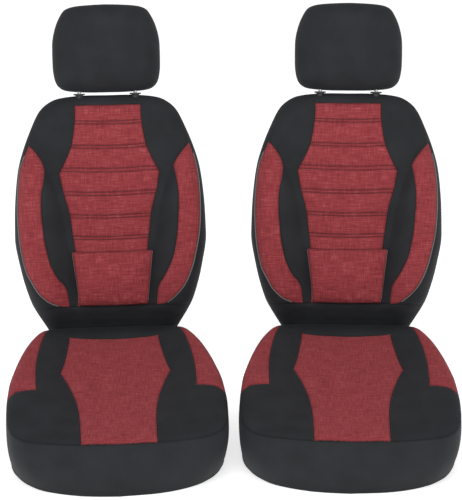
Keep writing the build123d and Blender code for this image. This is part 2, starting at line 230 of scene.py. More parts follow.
def triangulate(loop, seams, rounding, step, creases=(), fine=()):
    """A triangle sheet inside a loop, whose edges follow the loop, every seam and every sewn crease.

    Rings of points near the loop are spaced for a rounded edge of that radius. fine lists (loop, step) areas
    with a closer spacing of their own.
    """
    line = closed(loop)
    doubled_area = (line[:-1, 0] * line[1:, 1] - line[1:, 0] * line[:-1, 1]).sum()
    inward = 1 if doubled_area > 0 else -1
    ring_gaps = rounding * (1 - np.cos(np.radians(np.arange(9, 90, 9))))
    rings = np.vstack([even(offset_rows(line, inward * gap), step) for gap in ring_gaps])
    rings = rings[inside(rings, loop)]
    rings = rings[distance(rings, [line]) > 0.9 * ring_gaps[0]]
    beside = np.zeros((0, 2))
    if seams:
        beside = rows_beside([even(seam, step * 0.8) for seam in seams], SEAM_ROWS)
        beside = beside[inside(beside, loop)]
        beside = beside[distance(beside, [line]) > 1.0]
        beside = beside[distance(beside, seams) > 0.9 * SEAM_ROWS[0]]
        rings = rings[distance(rings, seams) > SEAM_ROWS[-1] + 1.0]
    if creases:
        folded = rows_beside(creases, CREASE_ROWS)
        folded = folded[distance(folded, creases) > 0.9 * CREASE_ROWS[0]]
        folded = folded[distance(folded, seams) > SEAM_ROWS[0]]
        beside = np.vstack([beside[distance(beside, creases) > CREASE_ROWS[-1]], folded])
    fill = []
    for region, spacing in [(None, step)] + list(fine):
        grid = hex_points(loop.min(0), loop.max(0), spacing)
        grid = grid[inside(grid, loop if region is None else region)]
        if region is None:
            for other, _ in fine:
                grid = grid[~inside(grid, other)]
            grid = grid[distance(grid, [line]) > ring_gaps[-1] + 0.4 * step]
        if seams:
            grid = grid[distance(grid, seams) > SEAM_ROWS[-1] + 0.5 * spacing]
        if creases:
            grid = grid[distance(grid, creases) > CREASE_ROWS[-1] + 0.4 * spacing]
        fill.append(grid)
    coords, edges = [], []
    for path in [line] + list(seams) + list(creases):
        start = len(coords)
        coords += [tuple(p) for p in path]
        edges += [(start + i, start + i + 1) for i in range(len(path) - 1)]
    coords += [tuple(p) for p in thinned(np.vstack([rings, beside] + fill))]
    out = delaunay_2d_cdt([Vector(c) for c in coords], edges, [], 0, 1e-3)
    verts, faces = np.array([tuple(v) for v in out[0]]), np.array(out[2])
    return verts, faces[inside(verts[faces].mean(1), loop)]


def part_of(verts, faces, keep):
    """The vertices and faces of some of a sheet's faces, renumbered."""
    used, kept = np.unique(faces[keep], return_inverse=True)
    return used, kept.reshape(-1, 3)


def facing(points, faces, direction):
    """Faces turned so that their normals agree with the direction."""
    a, b, c = (points[faces[:, k]] for k in range(3))
    turn = (np.cross(b - a, c - a) * direction).sum(1) < 0
    faces = faces.copy()
    faces[turn] = faces[turn][:, ::-1]
    return faces


# ---- placing pieces
def back_to_world(u, h, t):
    """Backrest coordinates in millimetres to the frame in metres, about the seat's middle plane."""
    return MM * np.column_stack([u, h * lean_sin - t * lean_cos, pivot_z + h * lean_cos + t * lean_sin])


def seat_to_world(u, y, z):
    """Cushion coordinates in millimetres to the frame in metres, about the seat's middle plane."""
    return MM * np.column_stack([u, CREASE_Y + y, z])


def new_object(name, data):
    """An object that shows the data, in the scene."""
    made = bpy.data.objects.new(name, data)
    scene.collection.objects.link(made)
    return made


def mesh_object(name, points, faces, material, uv, painted_shade=None):
    """A mesh with its cloth map, and how much painted shade darkens each point, from 0 to 1: painted shade along
    seams, quilting, creases and hollows.
    """
    mesh = bpy.data.meshes.new(name)
    mesh.from_pydata([tuple(p) for p in points], [], [tuple(int(i) for i in f) for f in faces])
    mesh.materials.append(material)
    mesh.shade_smooth()
    corner = np.array([v for f in faces for v in f])
    mesh.uv_layers.new(name="Cloth").data.foreach_set("uv", uv[corner].astype(np.float32).ravel())
    if painted_shade is not None:
        mesh.attributes.new("painted_shade", "FLOAT", "POINT").data.foreach_set("value", painted_shade.astype(np.float32))
    return new_object(name + "_cloth", mesh)


def both_seats(source, body, nodes=()):
    """Puts a piece on the left seat and a copy on the right, each riding on that seat's body."""
    base, copied = source.name, source.copy()
    scene.collection.objects.link(copied)
    for side, piece in (("left", source), ("right", copied)):
        piece.name = f"{side}_{base}"
        piece.matrix_world = places[side]
        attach(piece, f"{side}_{body}")
        if nodes:
            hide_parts(*[f"{side}_{node}" for node in nodes])


def cut_panels(verts, faces, painted_shade, place, direction, body, panels):
    """Cuts a sheet into (name, faces, depths, cloth, foam) panels, and puts each on both seats."""
    for name, keep, depth, (material, slot_name), foam in panels:
        used, kept = part_of(verts, faces, keep)
        placed = place(*verts[used].T, depth[used])
        kept = facing(placed, kept, direction)
        both_seats(mesh_object(name, placed, kept, material, MM * verts[used], painted_shade[used]), body,
                   foam + [name])


# ---- materials
def blank(name, color, roughness, **sockets):
    """A node material with constant values on the shader's own sockets."""
    made = bpy.data.materials.new(name)
    made.use_nodes = True
    tree = made.node_tree
    shader = tree.nodes["Principled BSDF"]
    shader.inputs["Base Color"].default_value = (*color, 1)
    shader.inputs["Roughness"].default_value = roughness
    for socket, value in sockets.items():
        shader.inputs[socket.replace("_", " ")].default_value = value
    return made, tree, shader


def add_node(tree, kind, links=(), **settings):
    """A node with its settings, and links as {input: output socket}."""
    made = tree.nodes.new("ShaderNode" + kind)
    for key, value in settings.items():
        setattr(made, key, value)
    for socket, source in dict(links).items():
        if hasattr(source, "links"):
            tree.links.new(source, made.inputs[socket])
        else:
            made.inputs[socket].default_value = source
    return made


def cloth_coordinates(tree, *scale):
    """The cloth's own map, which is in metres, stretched by a scale."""
    cloth = add_node(tree, "UVMap", uv_map="Cloth")
    return add_node(tree, "Mapping", {"Vector": cloth.outputs["UV"], "Scale": scale}).outputs["Vector"]


def object_coordinates(tree, *scale):
    """The piece's own coordinates, which are in metres, stretched by one scale or three."""
    scale = scale if len(scale) == 3 else scale * 3
    place = add_node(tree, "TexCoord")
    return add_node(tree, "Mapping", {"Vector": place.outputs["Object"], "Scale": scale}).outputs["Vector"]


def noise_node(tree, vector, detail=2.0, roughness=0.5):
    links = {"Vector": vector, "Scale": 1.0, "Detail": detail, "Roughness": roughness}
    return add_node(tree, "TexNoise", links).outputs["Fac"]


def cell_node(tree, *scale):
    """The distance to the middle of small cells."""
    return add_node(tree, "TexVoronoi", {"Vector": object_coordinates(tree, *scale), "Scale": 1.0}).outputs["Distance"]


def wave_node(tree, vector, scale, way, **links):
    """Even bands across one direction."""
    links = {"Vector": vector, "Scale": scale} | {key.replace("_", " "): value for key, value in links.items()}
    return add_node(tree, "TexWave", links, bands_direction=way).outputs["Fac"]


def calc(tree, operation, *values):
    """The result of a math node."""
    return add_node(tree, "Math", dict(enumerate(values)), operation=operation).outputs[0]


def ramp(tree, value, *stops):
    """A colour ramp through (position, colour) stops."""
    made = add_node(tree, "ValToRGB", {"Fac": value})
    band = made.color_ramp.elements
    while len(band) < len(stops):
        band.new(0.5)
    for element, (position, color) in zip(band, stops):
        element.position = position
        element.color = (*color, 1)
    return made.outputs["Color"]


def finished(made, shader, color, height, strength, distance):
    """The material, with its colour if that varies, and bumps from a height."""
    tree = made.node_tree
    links = {"Height": height, "Strength": strength, "Distance": distance}
    tree.links.new(add_node(tree, "Bump", links).outputs["Normal"], shader.inputs["Normal"])
    if color is not None:
        tree.links.new(color, shader.inputs["Base Color"])
    return made


def darkened_by_painted_shade(tree, color, depth):
    """The colour, darkened by the painted shade attribute (painted shade along seams, quilting, creases and hollows)
    as far as depth allows.
    """
    painted_shade = add_node(tree, "Attribute", attribute_name="painted_shade").outputs["Fac"]
    shade = calc(tree, "SUBTRACT", 1.0, calc(tree, "MULTIPLY", painted_shade, depth))
    return add_node(tree, "VectorMath", {0: color, 1: shade}, operation="MULTIPLY").outputs["Vector"]


def threads(tree, pitch):
    """The over and under of a plain weave, from its cloth map."""
    cloth = cloth_coordinates(tree, 1, 1, 1)
    waves = [wave_node(tree, cloth, 0.314 / pitch, way, Distortion=0.6, Detail=1.0, Detail_Scale=2.0)
             for way in ("X", "Y")]
    return calc(tree, "MAXIMUM", *waves)


def melange_cloth():
    """Dark red linen-like cloth, with slubs of lighter and darker yarn along both threads."""
    made, tree, shader = blank("red_melange_cloth", (0.25, 0.045, 0.052), 0.86, Sheen_Weight=0.08,
                               Sheen_Roughness=0.6, Sheen_Tint=(1.0, 0.45, 0.45, 1), Specular_IOR_Level=0.16)
    across = noise_node(tree, cloth_coordinates(tree, 26, 330, 1), 4.0, 0.72)
    along = noise_node(tree, cloth_coordinates(tree, 360, 28, 1), 4.0, 0.72)
    broad = noise_node(tree, cloth_coordinates(tree, 22, 22, 1))
    slubs = calc(tree, "ADD", calc(tree, "MULTIPLY", across, 0.56), calc(tree, "MULTIPLY", along, 0.44))
    weave = threads(tree, 0.0011)
    tone = calc(tree, "MULTIPLY_ADD", calc(tree, "SUBTRACT", broad, 0.5), 0.08, slubs)
    tone = calc(tree, "MULTIPLY_ADD", calc(tree, "SUBTRACT", weave, 0.6), 0.10, tone)
    color = ramp(tree, tone, (0.32, (0.120, 0.014, 0.017)), (0.44, (0.220, 0.028, 0.034)),
                 (0.56, (0.310, 0.047, 0.054)), (0.70, (0.46, 0.125, 0.132)))
    height = calc(tree, "ADD", calc(tree, "MULTIPLY", weave, 0.5), slubs)
    # painted shade from the attribute darkens the red by up to 0.72
    return finished(made, shader, darkened_by_painted_shade(tree, color, 0.72), height, 0.55, 0.0011)


def tricot_cloth():
    """Smooth black warp-knit cloth with a faint blue-grey sheen and fine ribs."""
    made, tree, shader = blank("black_tricot", (0.015, 0.016, 0.018), 0.82, Sheen_Weight=0.035,
                               Sheen_Roughness=0.5, Sheen_Tint=(0.80, 0.88, 1.0, 1), Specular_IOR_Level=0.22)
    knit = cell_node(tree, 900, 900, 620)
    soft = noise_node(tree, object_coordinates(tree, 16), 3.0, 0.55)
    grain = noise_node(tree, object_coordinates(tree, 420))
    tone = calc(tree, "MULTIPLY_ADD", calc(tree, "SUBTRACT", grain, 0.5), 0.5, soft)
    color = ramp(tree, tone, (0.25, (0.0135, 0.0145, 0.0163)), (0.75, (0.0210, 0.0226, 0.0258)))
    height = calc(tree, "ADD", calc(tree, "MULTIPLY", knit, -0.6), grain)
    # painted shade from the attribute darkens the black by up to 0.6
    return finished(made, shader, darkened_by_painted_shade(tree, color, 0.6), height, 0.22, 0.0007)


def thread_material(name, color):
    """Twisted yarn."""
    made, tree, shader = blank(name, color, 0.55, Sheen_Weight=0.2)
    twist = wave_node(tree, object_coordinates(tree, 1), 260.0, "DIAGONAL")
    tone = ramp(tree, twist, (0.0, tuple(0.72 * c for c in color)), (1.0, tuple(min(1, 1.25 * c) for c in color)))
    return finished(made, shader, tone, twist, 0.5, 0.0004)


def coated_steel():
    """Black powder coat with a light orange peel."""
    made, tree, shader = blank("black_powder_coat", (0.022, 0.022, 0.024), 0.42)
    peel = noise_node(tree, object_coordinates(tree, 700))
    wear = noise_node(tree, object_coordinates(tree, 30), 4.0, 0.6)
    tree.links.new(calc(tree, "MULTIPLY_ADD", wear, 0.25, 0.3), shader.inputs["Roughness"])
    color = ramp(tree, wear, (0.3, (0.017, 0.017, 0.019)), (0.75, (0.034, 0.034, 0.037)))
    return finished(made, shader, color, peel, 0.25, 0.0004)


def bright_metal(name, color, roughness, brushed):
    """Bare or plated metal with fine scratches along its length."""
    made, tree, shader = blank(name, color, roughness, Metallic=1.0)
    scratch = noise_node(tree, object_coordinates(tree, 900, 900, brushed), 3.0, 0.6)
    tree.links.new(calc(tree, "MULTIPLY_ADD", scratch, 0.14, roughness - 0.05), shader.inputs["Roughness"])
    return finished(made, shader, None, scratch, 0.05, 0.0002)


def moulded_plastic():
    """Black plastic with a pebbled grain."""
    made, tree, shader = blank("black_moulded_plastic", (0.02, 0.02, 0.021), 0.5)
    grain = cell_node(tree, 1100)
    color = ramp(tree, grain, (0.0, (0.014, 0.014, 0.015)), (0.8, (0.028, 0.028, 0.030)))
    return finished(made, shader, color, grain, 0.3, 0.0003)


def ribbed_elastic():
    """Woven black elastic with ribs across its weft."""
    made, tree, shader = blank("black_elastic", (0.018, 0.018, 0.019), 0.7, Sheen_Weight=0.2)
    place = object_coordinates(tree, 1)
    ribs, weft = wave_node(tree, place, 190.0, "X"), wave_node(tree, place, 320.0, "Y")
    both = calc(tree, "ADD", ribs, calc(tree, "MULTIPLY", weft, 0.4))
    color = ramp(tree, both, (0.2, (0.009, 0.009, 0.010)), (1.0, (0.032, 0.032, 0.034)))
    return finished(made, shader, color, both, 0.7, 0.0005)


red = melange_cloth()
black = tricot_cloth()
RED, BLACK = (red, "red_fabric"), (black, "black_fabric")
grey_cord = thread_material("grey_piping_cloth", (0.13, 0.125, 0.125))
pale_cord = thread_material("pale_pad_piping", (0.20, 0.11, 0.105))
black_thread = thread_material("black_thread", (0.020, 0.021, 0.024))
red_thread = thread_material("dark_red_thread", (0.085, 0.014, 0.018))
hard_materials = {
    "painted_steel": coated_steel(), "plain_steel": bright_metal("plain_steel", (0.55, 0.55, 0.56), 0.32, 90),
    "chrome_posts": bright_metal("chrome", (0.80, 0.81, 0.83), 0.10, 60),
    "black_plastic": moulded_plastic(), "elastic": ribbed_elastic()}
for part in frame["record"]["subparts"]:
    if part["material_slot"] in hard_materials:
        data = frame["nodes"][part["node"]].data
        data.materials.clear()
        data.materials.append(hard_materials[part["material_slot"]])


# ---- the backrest's shape
back_half = smooth_path([(0, 661), (62, 661), (119, 656), (152, 645), (181, 619), (206, 568), (226, 516), (240, 463),
    (249, 384), (252, 305), (251, 270), (243, 225), (231, 172), (214, 119), (199, 90), (184, 66), (168, 40), (152, 8),
    (138, -26), (112, -48), (60, -54), (0, -54)])
back_outline, back_line = whole_outline(back_half, SEAM_STEP)
valley_line = np.array([(97, -60), (100, 110), (104, 190), (111, 267), (120, 320), (129, 373), (145, 425), (166, 480),
    (190, 540), (205, 600), (215, 700)], float)
crest_line = np.array([(150, -60), (152, 110), (160, 190), (169, 250), (176, 320), (178, 380), (180, 425), (190, 480),
    (205, 540), (215, 600), (222, 700)], float)
BACK_REAR_ROUNDING = 34


def bolster_height(h):
    """How far the bolsters stand above the centre panel, at each height up the back."""
    return 27 * step_up(h, 60, 190) * (1 - step_up(h, 395, 575)) + 7 * step_up(h, 0, 60)


def back_front_t(points):
    """How far forward the covered backrest is at each point of its front view."""
    u, h = np.abs(points[:, 0]), points[:, 1]
    valley = np.interp(h, valley_line[:, 1], valley_line[:, 0])
    crest = np.interp(h, crest_line[:, 1], crest_line[:, 0])
    rise = np.sin(0.5 * np.pi * np.clip((u - valley) / (crest - valley), 0, 1)) ** 0.85
    centre = np.interp(h, [-60, 60, 111, 160, 560, 640, 700], [12, 30, 43, 38, 38, 30, 22])
    hollow = 3.0 * arch(u, 110) * step_up(h, 200, 420) * (1 - step_up(h, 560, 640))
    full = centre - hollow + bolster_height(h) * rise
    rounding = np.interp(h, [-60, 30, 120, 600, 700], [52, 46, 40, 40, 34])
    return full * rounded(distance(points, [back_line]), rounding)


def back_rear_t(points):
    """How far back the covered backrest is at each point, as a negative depth."""
    full = np.interp(points[:, 1], [-60, 0, 330, 600, 640, 700], [-50, -48, -48, -35, -30, -22])
    return full * rounded(distance(points, [back_line]), BACK_REAR_ROUNDING)


# Seams of the backrest's front, as (u, h)
centre_side = corner_path([(86, 636), (87, 595), (95, 542), (103, 516), (115, 490), (131, 459)], [(131, 459),
    (122, 411), (108, 359), (101, 306), (95, 254), (92, 180), (92, 111)])
centre_top = even(np.array([(-86, 636), (0, 634.5), (86, 636)], float), 5)
centre_loop = np.vstack([centre_side, mirrored(centre_side)[::-1]])
band_line = even(smooth_path([(-206.5, 107), (-150, 108.5), (0, 110), (150, 108.5), (206.5, 107)]), 5)
right_wing_in = corner_path([(211, 534), (190, 512), (175, 491), (167, 475)], [(167, 475), (172, 452), (177.5, 413),
    (178, 374), (175, 321), (170, 282), (162, 242), (152, 216), (139, 190), (126, 169), (119, 150), (115.5, 109.5)])
right_wing_out = corner_path([(115.5, 109.5), (139, 114), (165, 133), (191, 165), (210, 208), (222.5, 256),
    (232, 308), (235.5, 374), (233, 439), (225, 491), (211, 534)])
left_wing_in = corner_path([(-208, 535), (-190, 516), (-176, 494), (-168, 473)], [(-168, 473), (-172, 439),
    (-177.5, 413), (-180, 374), (-178, 334), (-173, 282), (-168, 256), (-160, 224), (-144, 190), (-128, 171),
    (-118, 150), (-113, 109.7)])
left_wing_out = corner_path([(-113, 109.7), (-137, 112), (-168, 125), (-194, 150), (-211, 180), (-224, 206),
    (-235, 256), (-240.5, 308), (-242.5, 360), (-240, 413), (-234.5, 465), (-223, 500), (-208, 535)])
quilt_rows = [(596.6, 589.5), (533.4, 526.1), (473.2, 464), (410.8, 402.4), (351, 343), (294.5, 286.6)]
back_seams = [centre_side, mirrored(centre_side), centre_top, band_line, right_wing_in, right_wing_out, left_wing_in,
              left_wing_out]
QUILT_BOW = 3.0  # how far a quilted row hangs below its ends
QUILT_MARGIN = 2.2  # between a row's end and the seam beside it


def quilt_path(line):
    """One sewn row across the centre panel, bowed down a little in the middle."""
    half = np.interp(line, centre_side[::-1, 1], centre_side[::-1, 0]) - QUILT_MARGIN
    across = np.linspace(-half, half, round(half / 1.9))
    return np.column_stack([across, line - QUILT_BOW * arch(across, 95)])


quilt_lines = [quilt_path(line) for pair in quilt_rows for line in pair]


def quilt_sink(points):
    """How deep the sewn rows pull the centre panel in, with a shallow hollow round each pair."""
    bowed = points[:, 1] + QUILT_BOW * arch(points[:, 0], 95)
    hollow = sum(np.exp(-((bowed - (upper + lower) / 2) / 10) ** 2) for upper, lower in quilt_rows)
    return 2.0 * np.exp(-distance(points, quilt_lines) / 2.0) + 1.8 * hollow


def make_backrest():
    """The panels of the backrest's front, cut from one sheet. Returns the sheet and its depth in front view."""
    verts, faces = triangulate(back_outline, back_seams, 40, 6.5, quilt_lines, [(centre_loop, 3.6)])
    middle = verts[faces].mean(1)
    u, h = middle.T
    in_centre = inside(middle, centre_loop)
    in_wings = (inside(middle, np.vstack([right_wing_in, right_wing_out[1:]]))
                | inside(middle, np.vstack([left_wing_in, left_wing_out[1:]])))
    in_band = (h < np.interp(u, *band_line.T)) & ~in_centre & ~in_wings
    in_bolster = ~(in_centre | in_wings | in_band)
    piping_u = np.where(u > 0, np.interp(h, right_wing_out[:, 1], right_wing_out[:, 0]),
                        -np.interp(h, left_wing_out[:, 1], left_wing_out[:, 0]))
    in_side = in_bolster & (np.abs(u) > piping_u) & (h < right_wing_out[-1, 1])
    in_bolster &= ~in_side

    to_seam, to_edge = distance(verts, back_seams), distance(verts, [back_line])
    up = verts[:, 1]
    swell = 1 - np.exp(-np.minimum(to_seam, to_edge) / 14)
    # painted shade: darker along the seams and quilted rows, and across the lower band, where the crease shades it
    painted_shade = 0.75 * np.exp(-to_seam / 1.6) + 0.85 * np.exp(-(distance(verts, quilt_lines) / 1.7) ** 2)
    painted_shade = np.maximum(np.clip(painted_shade, 0, 1), 0.8 * (1 - step_up(up, 70, 108)))
    front_t = back_front_t(verts) - 2.4 * np.exp(-to_seam / 3.2)
    rumple = wobble(verts, 60, 3.1) * 0.9 + wobble(verts, 22, 8.4) * 0.35
    tuck = np.exp(-((up - 84) / 9) ** 2) * 1.6 + np.exp(-((up - 62) / 6) ** 2) * 1.2
    on_edge = step_up(to_edge, 0, 12)
    off_side = step_up(distance(verts, [centre_side, mirrored(centre_side)]), 0, 9)
    centre_t = front_t + 3.2 * swell - quilt_sink(verts) * off_side + 0.5 * rumple
    wing_t = front_t + 2.6 * swell * on_edge + 0.5 * rumple * on_edge
    bolster_t = front_t + 1.0 * swell * on_edge + 0.8 * rumple * on_edge
    band_t = front_t - (tuck + wobble(verts * [0.25, 1], 11, 5.5) * 0.9) * on_edge + rumple * on_edge
    cut_panels(verts, faces, painted_shade, back_to_world, FORWARD, "backrest", (
        ("backrest_centre_panel", in_centre, centre_t, RED, ["backrest_foam"]),
        ("backrest_wing_panels", in_wings, wing_t, RED, []),
        ("backrest_bolster_panels", in_bolster, bolster_t, BLACK, []),
        ("backrest_side_panels", in_side, front_t + 0.4 * rumple * on_edge, BLACK, []),
        ("backrest_lower_band", in_band, band_t, BLACK, [])))
    return verts, np.where(np.isin(np.arange(len(verts)), faces[in_centre]), centre_t, bolster_t)


def make_back_rear():
    """The backrest's rear panel."""
    verts, faces = triangulate(back_outline, [], BACK_REAR_ROUNDING, 9)
    rear_t = back_rear_t(verts) + 0.9 * wobble(verts, 55, 4.2) * step_up(distance(verts, [back_line]), 0, 20)
    placed = back_to_world(*verts.T, rear_t)
    rear = mesh_object("backrest_rear_panel", placed, facing(placed, faces, BACKWARD), black, MM * verts)
    both_seats(rear, "backrest", ["backrest_rear_panel"])


back_sheet = make_backrest()
make_back_rear()


# ---- the cushion's shape
rear_y = 12.0
cushion_half = corner_path([(0, rear_y), (70, rear_y), (140, rear_y)], [(140, rear_y), (162, 14), (182, 1),
    (202, -24), (219, -58), (234, -104), (247, -157), (257, -209), (266, -268), (270, -336), (271, -373), (270, -409),
    (268, -445), (263, -480), (253, -512), (234, -537), (208, -553), (135, -570), (60, -577), (0, -578)])
cushion_outline, cushion_line = whole_outline(cushion_half, SEAM_STEP)


def seam_height(points):
    """The height of the seam round the cushion's top, where the skirt begins."""
    drop = np.interp(points[:, 1], [-578, -540, -440, -300, -60, rear_y], [5, 7, 10, 9, 4, 3])
    return 193 + (points[:, 1] + 60) * CUSHION_SLOPE - drop


def cushion_top_z(points):
    """The height of the covered cushion's top: flat in the middle, with low bolsters and a rounded edge."""
    u, y = np.abs(points[:, 0]), points[:, 1]
    valley = np.interp(-y, [0, 32, 224, 293, 384, 600], [112, 118, 140, 122, 103, 95])
    crest = np.interp(-y, [0, 60, 330, 600], [160, 172, 196, 196])
    rise = np.sin(0.5 * np.pi * np.clip((u - valley) / (crest - valley), 0, 1)) ** 0.9
    bolster = 10.5 * step_up(-y, -30, 30) * (1 - step_up(-y, 330, 520))
    dish = 4.0 * arch(u, 130) * step_up(-y, 60, 200) * (1 - step_up(-y, 420, 560))
    curl = step_up(y, -52, 4) * (9 - 6 * rise)
    full = 194 + (y + 60) * CUSHION_SLOPE - dish + bolster * rise + curl
    seam = seam_height(points)
    rounding = np.interp(-y, [-rear_y, 0, 60, 480, 578], [8, 12, 20, 40, 26])
    return seam + (full - seam) * rounded(distance(points, [cushion_line]), rounding)


# Seams of the cushion's top, as (u, y)
seat_centre_side = corner_path([(116, -32), (119, -75), (123, -115), (129, -170), (139, -224)], [(139, -224),
    (129, -256), (118, -293), (107, -340), (99, -384), (94, -432), (92, -483), (91, -530), (90.5, -574.6)])
seat_centre_rear = corner_path([(-116, -32), (-85, -39), (0, -46), (85, -39), (116, -32)])
seat_wing = corner_path([(164, 13.2), (174, -14), (183, -45), (191, -95), (197, -150), (200, -210), (200, -270),
    (198, -325)], [(198, -325), (216, -326), (232, -330), (252, -338), (270.2, -352)])
seat_seams = [seat_centre_side, mirrored(seat_centre_side), seat_centre_rear, seat_wing, mirrored(seat_wing)]
seat_centre_loop = np.vstack([seat_centre_rear[::-1], mirrored(seat_centre_side)[1:], [[0, -577.4]],
                              seat_centre_side[::-1][:-1]])
seat_wing_loop = np.vstack([seat_wing, [[330, -360], [330, 40], [165, 40]]])
QUILTED_BARS = (-170, -232, -296, -362, -432)  # y of the rows pressed into the centre panel
REAR_BAND_Y = -46


def make_cushion():
    """The panels of the cushion's top, cut from one sheet. Returns the sheet and its height in plan."""
    verts, faces = triangulate(cushion_outline, seat_seams, 36, 6.5, fine=[(seat_centre_loop, 4.2)])
    middle = verts[faces].mean(1)
    in_centre = inside(middle, seat_centre_loop)
    in_wings = inside(middle, seat_wing_loop) | inside(middle, mirrored(seat_wing_loop))
    in_rear = (middle[:, 1] > REAR_BAND_Y) & ~in_centre & ~in_wings
    in_bolster = ~(in_centre | in_wings | in_rear)

    to_edge = distance(verts, [cushion_line])
    to_line = distance(verts, seat_seams + [cushion_line])
    off_edge = step_up(to_edge, 0, 14)
    dip = 2.2 * np.exp(-distance(verts, seat_seams) / 3.0)
    top_z = cushion_top_z(verts) - dip * step_up(to_edge, 0, 10)
    swell = (1 - np.exp(-to_line / 16)) * off_edge
    rumple = (wobble(verts, 70, 6.1) * 0.9 + wobble(verts, 24, 2.4) * 0.4) * off_edge
    bow = 5 * arch(verts[:, 0], 100)
    bars = sum(0.8 * np.exp(-np.abs(verts[:, 1] - row + bow) / 2.2) for row in QUILTED_BARS)
    bars *= step_up(distance(verts, [seat_centre_side, mirrored(seat_centre_side)]), 2, 16)
    # painted shade: darker along the seams and the outline, and towards the rear edge beside the crease
    painted_shade = np.maximum(0.75 * np.exp(-to_line / 1.6), 0.8 * step_up(verts[:, 1], -40, -6))
    centre_z = top_z + 2.6 * swell + 0.6 * rumple - bars
    bolster_z = top_z + 1.2 * swell + rumple
    cut_panels(verts, faces, painted_shade, seat_to_world, UPWARD, "seat", (
        ("cushion_centre_panel", in_centre, centre_z, RED, ["cushion_foam"]),
        ("cushion_wing_panels", in_wings, top_z + 2.0 * swell + 0.5 * rumple, RED, []),
        ("cushion_bolster_panels", in_bolster, bolster_z, BLACK, []),
        ("cushion_rear_band", in_rear, top_z + rumple, BLACK, [])))
    return verts, bolster_z


seat_sheet = make_cushion()


# ---- the skirt and the flap behind the cushion
ROLL_CLEARANCE = 58.5  # how far from the pivot the cushion's rear wall stays, so that the backrest can turn
HEM_SHARE = 0.90  # how far down the skirt its hem is sewn
HEM_TURN, HEM_LIFT = 0.004, 0.0012  # how far the hem turns in and up, in metres
FLAP_HALF, FLAP_COLUMNS = 146, 41


def strip_mesh(name, rows, material, uv_rows, painted_shade=None):
    """A sheet through rows of points, all of one length."""
    count = len(rows[0])
    faces = [(r * count + i, r * count + i + 1, (r + 1) * count + i + 1, (r + 1) * count + i)
             for r in range(len(rows) - 1) for i in range(count - 1)]
    return mesh_object(name, np.vstack(rows), faces, material, np.vstack(uv_rows), painted_shade)


def make_skirt():
    """Falls from the seam to the floor, drawn in under the front, with a sewn hem."""
    top = even(cushion_half[::-1], SEAM_STEP)
    foot = even(smooth_path([(0, -560), (70, -554), (135, -539), (180, -518), (208, -496), (232, -468), (248, -436),
        (261, -395), (266, -340), (266, -270), (257, -209), (245, -157), (229, -104), (213, -62), (198, -26),
        (178, 0), (140, rear_y), (75, rear_y), (0, rear_y)]), 2.0)
    foot_run = run_along(foot)
    foot = points_at(foot, foot_run, run_along(top) / run_along(top)[-1] * foot_run[-1])
    top, foot = [np.vstack([mirrored(side)[::-1][:-1], side]) for side in (top, foot)]
    seam, run = seam_height(top), run_along(top)
    away = np.column_stack([-np.gradient(top[:, 1]), np.gradient(top[:, 0])])
    away /= np.hypot(*away.T)[:, None]
    away *= np.sign((away * (top - [0, -300])).sum(1))[:, None]
    rows, uvs = [], []
    downs = np.r_[0, 0.012, 0.03, 0.06, np.linspace(0.1, 0.92, 20), 0.955, 0.98, 1.0]
    for down in downs:
        z = seam * (1 - down) + 1.2 * down
        tuck = down**2.1
        full = 3.4 * math.sin(math.pi * min(1, down * 1.12)) - 1.6 * math.exp(-down / 0.018)
        folds = np.array([1.5 * soft_noise(s / 70, down * 1.3, 7.7) + 0.7 * soft_noise(s / 28, down * 2.2, 3.3)
                          for s in run]) * down
        hem = -0.9 * math.exp(-abs(down - HEM_SHARE) / 0.012)
        place = top * (1 - tuck) + foot * tuck + away * (full + folds + hem)[:, None]
        above = np.maximum(z - pivot_z, 0)
        clear = -CREASE_Y - np.sqrt(np.maximum(ROLL_CLEARANCE**2 - above**2, 0))
        behind = np.maximum(place[:, 1] - clear, 0) * (1 - step_up(np.abs(place[:, 0]), 168, 196))
        place[:, 1] -= behind * step_up(down, 0, 0.02)
        rows.append(seat_to_world(*place.T, z))
        uvs.append(MM * np.column_stack([run, z]))
    rows.append(rows[-1] + np.column_stack([-HEM_TURN * away, np.full(len(away), HEM_LIFT)]))
    uvs.append(uvs[-1])
    # painted shade: the skirt grows darker towards the floor
    shade = np.repeat(0.5 * np.r_[downs, 1.0] ** 2, len(top))
    return strip_mesh("cushion_skirt", rows, black, uvs, shade)


def make_flap(side):
    """The cloth that joins the cushion's rear edge to the backrest's foot, with a slack fold between them."""
    across = np.linspace(-FLAP_HALF, FLAP_HALF, FLAP_COLUMNS)
    fall = smooth_path([(-27, 49), (-45, 33), (-55, 10), (-54, -14), (-43, -36), (-28, -48)])
    rows, uvs = [], []
    for (y, z), s in zip(fall, run_along(fall)):
        soft = 0.6 * np.array([soft_noise(u / 40, s / 30, 1.9) for u in across])
        rows.append(MM * np.column_stack([across, y - soft, np.full(FLAP_COLUMNS, pivot_z + z)]))
        uvs.append(MM * np.column_stack([across, np.full(FLAP_COLUMNS, s)]))
    flap = strip_mesh(side + "_crease_flap", rows, black, uvs)
    flap.matrix_world = places[side]
    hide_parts(side + "_crease_flap")
    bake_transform(flap)


both_seats(make_skirt(), "seat", ["cushion_skirt"])
make_flap("left")
make_flap("right")


